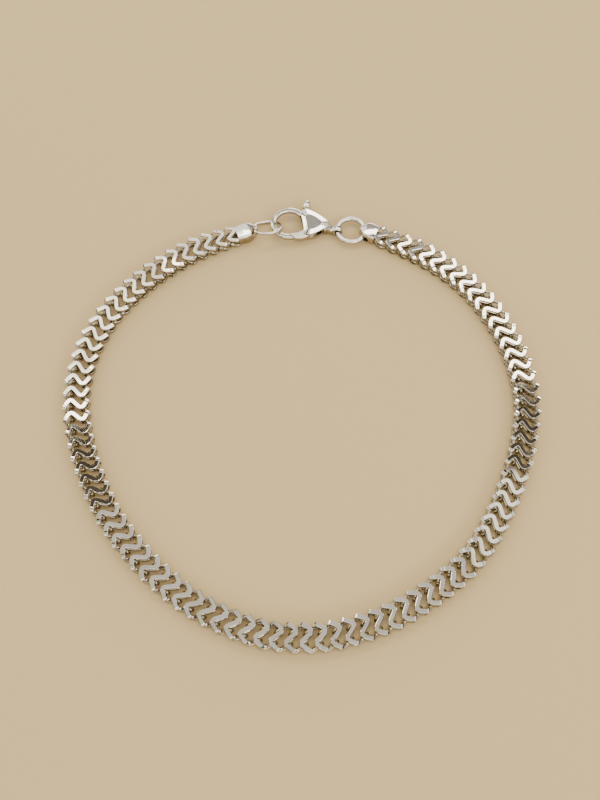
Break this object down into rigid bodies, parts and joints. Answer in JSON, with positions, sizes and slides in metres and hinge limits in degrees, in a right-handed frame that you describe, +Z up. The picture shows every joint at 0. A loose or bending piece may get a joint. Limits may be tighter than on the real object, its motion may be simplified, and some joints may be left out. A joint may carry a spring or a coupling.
{
  "type": "link bracelet",
  "caption": "Flat woven silver link bracelet, fastened into a loop by a lobster clasp between two jump rings and two end caps.",
  "frame": {"origin": "middle of the footprint, on the surface that the bracelet lies on", "axes": "+Z up from the surface, +Y from the middle of the loop toward the clasp, +X toward the thick jump ring's side"},
  "size_m": [0.0618, 0.0634, 0.0025],
  "materials": {
    "chain_silver": "polished silver",
    "ring_silver": "polished silver",
    "clasp_silver": "polished silver",
    "lever_silver": "polished silver"
  },
  "bodies": {
    "bracelet": {"chain_left": "chain_silver", "chain_right": "chain_silver", "jump_ring_left": "ring_silver", "jump_ring_right": "ring_silver", "clasp_body": "clasp_silver"},
    "lever": {"clasp_lever": "lever_silver"}
  },
  "joints": [
    {"name": "lever_hinge", "type": "hinge", "parent": "bracelet", "child": "lever", "pos_m": [0.00158, 0.02718, 0.00095], "axis": [0, 0, -1], "range_deg": [0, 25], "stiffness_Nm_per_rad": 0.001, "springref_deg": -17.19}
  ]
}
